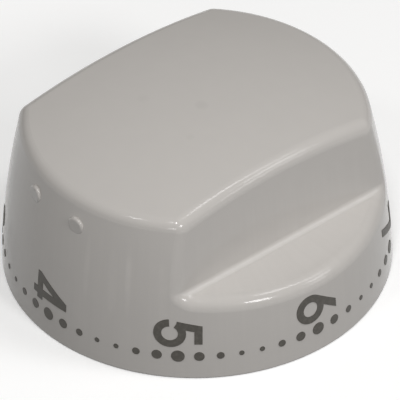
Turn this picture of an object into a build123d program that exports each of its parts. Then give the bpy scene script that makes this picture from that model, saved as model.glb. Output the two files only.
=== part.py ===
from build123d import *
import math
import os

# Temperature control knob of a refrigerator: one hollow moulding with a printed scale on its skirt.
# The rim stands on z = 0, the axis is Z, and the grip runs along Y with the scale's middle number at -Y.
# Lengths are in millimetres and angles in degrees.

# Outside of the moulding
rim_diameter = 45.0
knob_height = 23.0
shoulder_diameter = 39.8  # where the side would meet the crown with no rounding
shoulder_height = 20.35
side_bow = 0.5  # how far the side swells out past the straight line from rim to shoulder
grip_width = 30.0  # across the grip at its foot, from crease to crease
grip_draft = 3.8
crease_height = 10.8
ledge_slope = 7.0  # each ledge falls away outwards from its crease
edge_radius = 1.7
crease_radius = 0.8
rim_edge_radius = 0.2

# Round pips on the grip's -Y end, with upright faces: flush below, and out of the leaning side above
pip_diameter = 2.2
pip_edge_radius = 0.3
pip_drop = 3.4  # from the shoulder down to the middle of a pip
pip_spread = 20.4  # round the axis from one pip to the other
pip_turn = -0.9  # from the grip's middle line to midway between the pips

# Inside of the moulding
wall = 2.0
boss_diameter = 11.0
boss_recess = 1.5  # from the rim up to the end of the boss
rib_thickness = 1.2
rib_recess = 5.0  # from the rim up to the lower edges of the ribs

# Seat for the spindle
spindle_diameter = 6.0
spindle_across_flat = 4.6
socket_clearance = 0.05
socket_depth = 11.0
lead_in_clearance = 0.3
lead_in_depth = 3.0

# Printed scale
lowest_number = 1
middle_number = 4
highest_number = 7
number_pitch = 43.5
scale_turn = 1.1  # from the grip's middle line to the middle number
digit_height = 5.6
digit_width = 3.75
digit_stroke = 0.92
digit_gap = 0.45  # from the digits down to the largest dots
dot_diameters = (1.55, 1.2, 0.9, 0.62)  # from a number outwards to the middle of the gap
ink_thickness = 0.05

# The print hangs below the rounding of the ledge, and its dots shrink from each number to mid-gap
ledge_fall = math.tan(math.radians(ledge_slope))
ledge_edge_height = crease_height - (rim_diameter - grip_width) / 2 * ledge_fall
number_height = ledge_edge_height - edge_radius - digit_width / 2
dot_row_height = number_height - digit_width / 2 - digit_gap - dot_diameters[0] / 2
steps_between_numbers = 2 * len(dot_diameters) - 1

# The crown and the bowed side are arcs, found from their chords and how far they rise
crown_rise = knob_height - shoulder_height
crown_radius = ((shoulder_diameter / 2) ** 2 + crown_rise**2) / (2 * crown_rise)
side_lean = (rim_diameter - shoulder_diameter) / 2
side_chord = math.hypot(side_lean, shoulder_height)
side_radius = ((side_chord / 2) ** 2 + side_bow**2) / (2 * side_bow)
side_outwards = Vector(shoulder_height, 0, side_lean) / side_chord
side_middle = Vector((rim_diameter + shoulder_diameter) / 4, 0, shoulder_height / 2)
side_centre = side_middle + side_outwards * (side_bow - side_radius)


def side_point(height, outset=0.0):
    """The point of the side's arc at a height, with the arc moved outwards."""
    across = math.sqrt((side_radius + outset) ** 2 - (height - side_centre.Z) ** 2)
    return Vector(side_centre.X + across, 0, height)


def side_arc(low, high, outset=0.0):
    heights = (low, (low + high) / 2, high)
    return ThreePointArc(*(side_point(height, outset) for height in heights))


def grip_cut(inset):
    """The space beside the grip on its +X side, outside the drafted face and above the ledge."""
    foot = grip_width / 2
    far = rim_diameter
    above = 2 * knob_height
    lean = math.tan(math.radians(grip_draft))
    outline = Polyline(
        (foot, 0, crease_height),
        (foot + far, 0, crease_height - far * ledge_fall),
        (foot + far, 0, above),
        (foot - (above - crease_height) * lean, 0, above),
        close=True,
    )
    section = make_face(outline)
    crease = section.vertices().sort_by_distance((foot, 0, crease_height))[0]
    section = offset(fillet(crease, crease_radius), inset)
    return extrude(section, amount=rim_diameter, dir=(0, 1, 0), both=True)


def block(inset):
    """The knob's form with all its faces but the base moved inwards, before the edges are rounded."""
    side = side_arc(0, knob_height, -inset)
    base = Line((0, 0, 0), side @ 0)
    lid = Line(side @ 1, (0, 0, knob_height))
    axis = Line((0, 0, knob_height), (0, 0, 0))
    turned = revolve(make_face([base, side, lid, axis]), Axis.Z)
    crown = Pos(0, 0, knob_height - crown_radius) * Sphere(crown_radius - inset)
    cut = grip_cut(inset)
    return (turned & crown) - cut - mirror(cut, about=Plane.YZ)


def rounded_outside():
    outside = block(0)
    rim = outside.edges().sort_by(Axis.Z)[0]
    creases = outside.edges().filter_by(GeomType.LINE).filter_by(Axis.Y)
    corners = [edge for edge in outside.edges() if edge not in creases and edge != rim]
    outside = fillet(corners, edge_radius)
    rim = outside.edges().sort_by(Axis.Z)[0]
    return fillet(rim, rim_edge_radius)


def pips():
    """Both pips, each rooted halfway into the wall."""
    level = shoulder_height - pip_drop
    face = side_point(level - pip_diameter / 2).X
    pip = Cylinder(pip_diameter / 2, wall / 2, align=(Align.CENTER, Align.CENTER, Align.MAX))
    pip = fillet(pip.edges().sort_by(Axis.Z)[-1], pip_edge_radius)
    pip = Pos(face, 0, level) * Rot(0, 90, 0) * pip
    middle = pip_turn - 90
    return Rot(0, 0, middle - pip_spread / 2) * pip + Rot(0, 0, middle + pip_spread / 2) * pip


def upright(shape, foot):
    """A flat shape raised from a height into the crown."""
    return Pos(0, 0, foot) * extrude(shape, amount=knob_height - foot)


def hollow():
    boss = upright(Circle(boss_diameter / 2), boss_recess)
    ribs = upright(Rectangle(rib_thickness, rim_diameter), rib_recess)
    ribs += upright(Rectangle(rim_diameter, rib_thickness), rib_recess)
    return block(wall) - boss - ribs


def spindle_seat():
    """A round lead-in, and a socket with one flat above it."""
    socket_radius = spindle_diameter / 2 + socket_clearance
    flat = spindle_across_flat - spindle_diameter / 2 + socket_clearance
    kept = Pos(0, flat - spindle_diameter) * Rectangle(2 * spindle_diameter, 2 * spindle_diameter)
    socket = extrude(Circle(socket_radius) & kept, amount=lead_in_depth + socket_depth)
    lead_in = extrude(Circle(spindle_diameter / 2 + lead_in_clearance), amount=lead_in_depth)
    return Pos(0, 0, boss_recess) * (socket + lead_in)


def digit(number):
    """A digit drawn with a pen of even width, upright, with its middle at the origin."""
    right = (digit_width - digit_stroke) / 2  # the pen's reach from the middle
    high = (digit_height - digit_stroke) / 2
    rise = high - right  # from the middle of the digit to the middle of a full-width bowl
    small = 0.47 * high  # the upper bowl where one stands on another
    large = high - small
    past = 1.5  # a stroke that runs past the digit's box is cut off at it

    def pen(across, up):
        return across * right, up * high

    def ring(middle, radius, start=0):
        return [CenterArc((0, middle), radius, turn, 180) for turn in (start, start + 180)]

    if number == 0:
        sides = [Line((side, -rise), (side, rise)) for side in (-right, right)]
        strokes = [*sides, CenterArc((0, rise), right, 0, 180), CenterArc((0, -rise), right, 180, 180)]
    elif number == 1:
        strokes = [Line(pen(0.3, -past), pen(0.3, past)), Line(pen(0.3, 0.95), pen(-1, 0.6))]
    elif number == 2:
        tangent = 2 * math.degrees(math.atan2(right, high + rise))
        hook = CenterArc((0, rise), right, 175, -175 - tangent)
        strokes = [Curve() + hook + Polyline(hook @ 1, pen(-1, -1), pen(past, -1))]
    elif number == 3:
        upper = CenterArc((0, high - small), small, 160, -250)
        strokes = [upper, CenterArc((0, large - high), large, 90, -250)]
    elif number == 4:
        stem = Line(pen(0.6, -past), pen(0.6, past))
        strokes = [stem, Polyline(pen(past, -0.7), pen(-1, -0.7), pen(0.62, 1.2))]
    elif number == 5:
        bowl = CenterArc((0, -rise), right, 150, -328)
        strokes = [bowl, Polyline(pen(1, 1), pen(-0.48, 1), pen(-0.85, -0.08))]
    elif number == 6:
        slope = 55
        bowl = ring(-rise, right, 90 + slope)
        strokes = [*bowl, PolarLine(bowl[0] @ 0, digit_height, slope)]
    elif number == 7:
        strokes = [Polyline(pen(-1, 1), pen(1, 1), pen(-0.98, -past))]
    elif number == 8:
        strokes = [*ring(high - small, small), *ring(large - high, large)]
    else:
        return Rot(0, 0, 180) * digit(6)
    drawn = Sketch() + [trace(stroke, digit_stroke) for stroke in strokes]
    return drawn & Rectangle(digit_width, digit_height)


# A film of ink all round the skirt, which the marks are cut from
film_edges = side_arc(0, ledge_edge_height), side_arc(0, ledge_edge_height, ink_thickness)
film_ends = [Line(film_edges[0] @ end, film_edges[1] @ end) for end in (0, 1)]
ink_film = revolve(make_face([*film_edges, *film_ends]), Axis.Z)


def on_skirt(shape, angle, height):
    """A flat shape cut out of the ink film, with its top the way the numbers rise."""
    turn = math.radians(angle)
    outwards = Vector(math.cos(turn), math.sin(turn), 0)
    place = Plane(origin=outwards * (side_point(height).X - wall), x_dir=(0, 0, -1), z_dir=outwards)
    return extrude(Pos(0, 0, height) * (place * shape), amount=2 * wall, dir=outwards) & ink_film


def scale_print():
    marks = []
    for number in range(lowest_number, highest_number + 1):
        angle = (number - middle_number) * number_pitch + scale_turn - 90
        marks.append(on_skirt(digit(number), angle, number_height))
        steps = steps_between_numbers if number < highest_number else 1
        for step in range(steps):
            from_number = min(step, steps_between_numbers - step)
            dot = Circle(dot_diameters[from_number] / 2)
            dot_angle = angle + step * number_pitch / steps_between_numbers
            marks.append(on_skirt(dot, dot_angle, dot_row_height))
    return Compound(children=marks)


os.makedirs("parts", exist_ok=True)
export_step(rounded_outside() + pips() - hollow() - spindle_seat(), "parts/knob.step")
export_step(scale_print(), "parts/scale_print.step")
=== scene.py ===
import math
import bpy
from mathutils import Matrix, Vector

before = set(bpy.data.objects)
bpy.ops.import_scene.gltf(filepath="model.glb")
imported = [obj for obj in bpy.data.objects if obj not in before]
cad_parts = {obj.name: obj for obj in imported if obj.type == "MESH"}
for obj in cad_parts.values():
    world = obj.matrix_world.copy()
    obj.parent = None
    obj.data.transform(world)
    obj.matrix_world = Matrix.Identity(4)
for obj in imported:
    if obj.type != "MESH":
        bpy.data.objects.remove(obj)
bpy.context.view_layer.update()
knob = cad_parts["knob"]
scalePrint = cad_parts["scale_print"]
mm = 0.001
print("frame loaded:", sorted(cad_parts))


# one output socket of a node; + - * / add Math nodes, node() adds any other kind
class Sock:
    def __init__(self, tree, socket=None):
        self.tree = tree
        self.socket = socket

    def math(self, operation, first, second=0.0):
        return self.node("ShaderNodeMath", {"operation": operation}, {0: first, 1: second})

    def __add__(self, other): return self.math("ADD", self, other)
    def __radd__(self, other): return self.math("ADD", other, self)
    def __sub__(self, other): return self.math("SUBTRACT", self, other)
    def __rsub__(self, other): return self.math("SUBTRACT", other, self)
    def __mul__(self, other): return self.math("MULTIPLY", self, other)
    def __rmul__(self, other): return self.math("MULTIPLY", other, self)
    def __truediv__(self, other): return self.math("DIVIDE", self, other)
    def __rtruediv__(self, other): return self.math("DIVIDE", other, self)

    def other(self, name):  # another output of the same node
        return Sock(self.tree, self.socket.node.outputs[name])

    def node(self, kind, settings=None, values=None, out=0):
        made = self.tree.nodes.new(kind)
        for name, value in (settings or {}).items():
            setattr(made, name, value)
        for name, value in (values or {}).items():
            if isinstance(value, Sock):
                self.tree.links.new(value.socket, made.inputs[name])
            else:
                made.inputs[name].default_value = value
        return Sock(self.tree, made.outputs[out] if made.outputs else None)


def newMaterial(name):
    mat = bpy.data.materials.new(name)
    mat.use_nodes = True
    mat.node_tree.nodes.clear()
    return mat, Sock(mat.node_tree)


def dress(obj, mat):
    obj.data.materials.clear()
    obj.data.materials.append(mat)


def placeInMm(start):
    place = start.node("ShaderNodeTexCoord", out="Object")
    return start.node("ShaderNodeVectorMath", {"operation": "SCALE"}, {0: place, "Scale": 1 / mm})


def noise(start, vector, size, detail):
    return start.node("ShaderNodeTexNoise", {}, {"Vector": vector, "Scale": 1 / size, "Detail": detail})


# light grey moulding: lengths in millimetres, angles in degrees round the axis from -Y towards +X
plastic = {
    "colour": (0.57, 0.545, 0.52),
    "roughness": 0.12,
    "roughnessSpread": 0.03,
    "ior": 1.5,
    "specular": 0.35,
    "mottle": 0.015,  # how far the shade wanders from place to place
    "mottleSize": 2.5,
    "mottleDetail": 3.0,
    "drag": 0.02,  # faint lines that the mould left down the side
    "dragTop": 18.8,
    "dragFade": 1.5,
    "dragPitch": 1.6,
    "dragLength": 25.0,
    "dragDetail": 2.0,
    "paintedReflectionStreaks": (  # angle, half width, height, half length, gain: lighter streaks painted in as reflections on the side
        (15.0, 1.3, 12.5, 5.0, 0.045),
        (24.0, 2.0, 11.5, 5.0, 0.03),
        (29.2, 1.2, 12.5, 5.5, 0.055),
        (40.0, 2.0, 11.0, 5.0, 0.03),
    ),
    "paintedReflectionBreak": 3.0,  # how far the mottle breaks up the painted reflection streaks
    "smudges": (  # x, y, radius, depth
        (1.8, -0.5, 0.9, 0.05),
        (-3.7, -4.6, 0.8, 0.03),
        (5.0, -4.9, 0.6, 0.03),
    ),
    "smudgeBreak": 2.0,  # how far it frays the smudges
    "grainSize": 0.4,
    "grainDetail": 2.0,
    "grainHeight": 0.002,
    "grainStrength": 0.3,
}


def plasticMaterial():
    mat, start = newMaterial("lightGreyPlastic")
    place = placeInMm(start)
    x = start.node("ShaderNodeSeparateXYZ", {}, {0: place})
    y, z = x.other("Y"), x.other("Z")
    angle = start.math("DEGREES", start.math("ARCTAN2", x, 0 - y))
    mottle = noise(start, place, plastic["mottleSize"], plastic["mottleDetail"]) - 0.5
    shade = 1 + mottle * (2 * plastic["mottle"])

    # lines down the side: noise drawn out along z, and lighter streaks painted in as reflections
    side = start.node("ShaderNodeMapRange", {}, {
        0: z, 1: plastic["dragTop"], 2: plastic["dragTop"] - plastic["dragFade"], 3: 0.0, 4: 1.0})
    drawn = start.node("ShaderNodeCombineXYZ", {}, {
        0: angle / plastic["dragPitch"], 1: z / plastic["dragLength"]})
    drag = noise(start, drawn, 1.0, plastic["dragDetail"]) - 0.5
    dragAndPaintedReflections = drag * (2 * plastic["drag"])
    # painted reflections: lighter bands added to the colour of the side
    for middle, halfWidth, height, halfLength, gain in plastic["paintedReflectionStreaks"]:
        off, along = (angle - middle) / halfWidth, (z - height) / halfLength
        paintedReflection = start.math("MAXIMUM", 1 - off * off - along * along, 0.0)
        dragAndPaintedReflections = dragAndPaintedReflections + paintedReflection * gain * (1 + plastic["paintedReflectionBreak"] * mottle)
    shade = shade + dragAndPaintedReflections * side

    # smudges on the crown
    for smudgeX, smudgeY, radius, depth in plastic["smudges"]:
        across, along = (x - smudgeX) / radius, (y - smudgeY) / radius
        frayed = 1 - across * across - along * along + mottle * plastic["smudgeBreak"]
        spot = start.math("MINIMUM", start.math("MAXIMUM", frayed, 0.0), 1.0)
        shade = shade - spot * depth * (1 - side)

    colour = start.node("ShaderNodeVectorMath", {"operation": "SCALE"}, {
        0: plastic["colour"], "Scale": shade})
    roughness = plastic["roughness"] + mottle * (2 * plastic["roughnessSpread"])
    bump = start.node("ShaderNodeBump", {}, {
        "Strength": plastic["grainStrength"], "Distance": plastic["grainHeight"] * mm,
        "Height": noise(start, place, plastic["grainSize"], plastic["grainDetail"])})
    shader = start.node("ShaderNodeBsdfPrincipled", {}, {
        "Base Color": colour, "Roughness": roughness, "Normal": bump,
        "IOR": plastic["ior"], "Specular IOR Level": plastic["specular"]})
    start.node("ShaderNodeOutputMaterial", {}, {"Surface": shader})
    return mat


# dark print of the scale, a little thin in places
ink = {
    "colour": (0.066, 0.06, 0.05),
    "thinColour": (0.105, 0.097, 0.083),
    "patchSize": 0.5,
    "patchDetail": 3.0,
    "thinFrom": 0.45,  # levels of the noise between which the ink thins
    "thinTo": 0.75,
    "roughness": 0.45,
    "thinRoughness": 0.55,
}


def inkMaterial():
    mat, start = newMaterial("scaleInk")
    patches = noise(start, placeInMm(start), ink["patchSize"], ink["patchDetail"])
    thin = start.node("ShaderNodeMapRange", {}, {
        0: patches, 1: ink["thinFrom"], 2: ink["thinTo"], 3: 0.0, 4: 1.0})
    colour = start.node("ShaderNodeMix", {"data_type": "RGBA"}, {
        0: thin, 6: (*ink["colour"], 1.0), 7: (*ink["thinColour"], 1.0)}, 2)
    roughness = ink["roughness"] + thin * (ink["thinRoughness"] - ink["roughness"])
    shader = start.node("ShaderNodeBsdfPrincipled", {}, {"Base Color": colour, "Roughness": roughness})
    start.node("ShaderNodeOutputMaterial", {}, {"Surface": shader})
    return mat


dress(knob, plasticMaterial())
dress(scalePrint, inkMaterial())
print("materials on")

# camera at the photograph's angle
view = {
    "azimuth": 50.643,  # degrees from -Y towards +X
    "elevation": 39.559,
    "roll": 0.833,
    "distance": 899.8 * mm,
    "target": (0.254 * mm, 0.310 * mm, 7.634 * mm),
    "lens": 705.8,
    "sensor": 36.0,
    "clip": (0.01, 20.0),
}


def towards(azimuth, elevation):
    turn, lift = math.radians(azimuth), math.radians(elevation)
    return Vector((math.sin(turn) * math.cos(lift), -math.cos(turn) * math.cos(lift), math.sin(lift)))


def makeCamera():
    turn, roll = math.radians(view["azimuth"]), math.radians(view["roll"])
    back = towards(view["azimuth"], view["elevation"])
    right = Vector((math.cos(turn), math.sin(turn), 0))
    up = back.cross(right)
    across = right * math.cos(roll) - up * math.sin(roll)
    upwards = right * math.sin(roll) + up * math.cos(roll)
    cam = bpy.data.objects.new("camera", bpy.data.cameras.new("camera"))
    cam.data.sensor_width = view["sensor"]
    cam.data.lens = view["lens"]
    cam.data.clip_start, cam.data.clip_end = view["clip"]
    place = Matrix((across, upwards, back)).transposed().to_4x4()
    place.translation = Vector(view["target"]) + back * view["distance"]
    cam.matrix_world = place
    bpy.context.scene.collection.objects.link(cam)
    bpy.context.scene.camera = cam


makeCamera()
print("camera set")

# pale floor, soft lamps and a faint even sky
studio = {
    "floorSize": 6.0,
    "floorGap": 0.02 * mm,  # below the rim
    "floorColour": (0.95, 0.95, 0.95, 1.0),  # as the camera and mirrors see it
    "bounceColour": (0.06, 0.06, 0.06, 1.0),  # as it throws light back at the object
    "floorLift": 0.2,  # a little glow where it is seen
    "sky": (0.2, 0.197, 0.19, 1.0),
    "lampDistance": 0.9,
    "lamps": {
        # azimuth, elevation, diameter, watts
        "key": (45.0, 65.0, 0.2, 2.45),
        "frontHigh": (3.0, 54.0, 0.12, 0.34),
        "low": (40.0, 20.0, 0.2, 0.74),
        "right": (90.0, 35.0, 0.2, 1.7),
        "back": (128.0, 37.0, 0.2, 0.5),
        "backMiddle": (143.0, 54.0, 0.2, 0.31),
        "backHigh": (135.0, 65.0, 0.2, 0.6),
        "backLow": (120.0, 20.0, 0.2, 0.28),
    },
}


def makeFloor():
    half = studio["floorSize"] / 2
    mesh = bpy.data.meshes.new("floor")
    corners = [(-half, -half, 0), (half, -half, 0), (half, half, 0), (-half, half, 0)]
    mesh.from_pydata(corners, [], [(0, 1, 2, 3)])
    floor = bpy.data.objects.new("floor", mesh)
    floor.location.z = -studio["floorGap"]
    bpy.context.scene.collection.objects.link(floor)
    mat, start = newMaterial("paleFloor")
    path = start.node("ShaderNodeLightPath", out="Is Camera Ray")
    seen = path + path.other("Is Glossy Ray") + path.other("Is Transmission Ray")
    bounce = start.node("ShaderNodeBsdfDiffuse", {}, {"Color": studio["bounceColour"]})
    paint = start.node("ShaderNodeBsdfDiffuse", {}, {"Color": studio["floorColour"]})
    glow = start.node("ShaderNodeEmission", {}, {"Strength": studio["floorLift"]})
    pale = start.node("ShaderNodeAddShader", {}, {0: paint, 1: glow})
    above = start.node("ShaderNodeMixShader", {}, {0: seen, 1: bounce, 2: pale})
    below = start.node("ShaderNodeNewGeometry", out="Backfacing")  # clear from below, to show the underside
    clear = start.node("ShaderNodeBsdfTransparent")
    oneSided = start.node("ShaderNodeMixShader", {}, {0: below, 1: above, 2: clear})
    start.node("ShaderNodeOutputMaterial", {}, {"Surface": oneSided})
    dress(floor, mat)


def makeLamps():
    for name, (azimuth, elevation, diameter, watts) in studio["lamps"].items():
        away = towards(azimuth, elevation)
        lamp = bpy.data.lights.new(name, "AREA")
        lamp.shape = "DISK"
        lamp.size, lamp.energy = diameter, watts
        holder = bpy.data.objects.new(name, lamp)
        holder.location = away * studio["lampDistance"]
        holder.rotation_euler = away.to_track_quat("Z", "Y").to_euler()
        bpy.context.scene.collection.objects.link(holder)


def makeSky():
    world = bpy.data.worlds.new("sky")
    bpy.context.scene.world = world
    world.use_nodes = True
    world.node_tree.nodes.clear()
    start = Sock(world.node_tree)
    light = start.node("ShaderNodeBackground", {}, {"Color": studio["sky"]})
    start.node("ShaderNodeOutputWorld", {}, {"Surface": light})


makeFloor()
makeLamps()
makeSky()
bpy.context.scene.view_settings.view_transform = "Standard"
print("studio set")
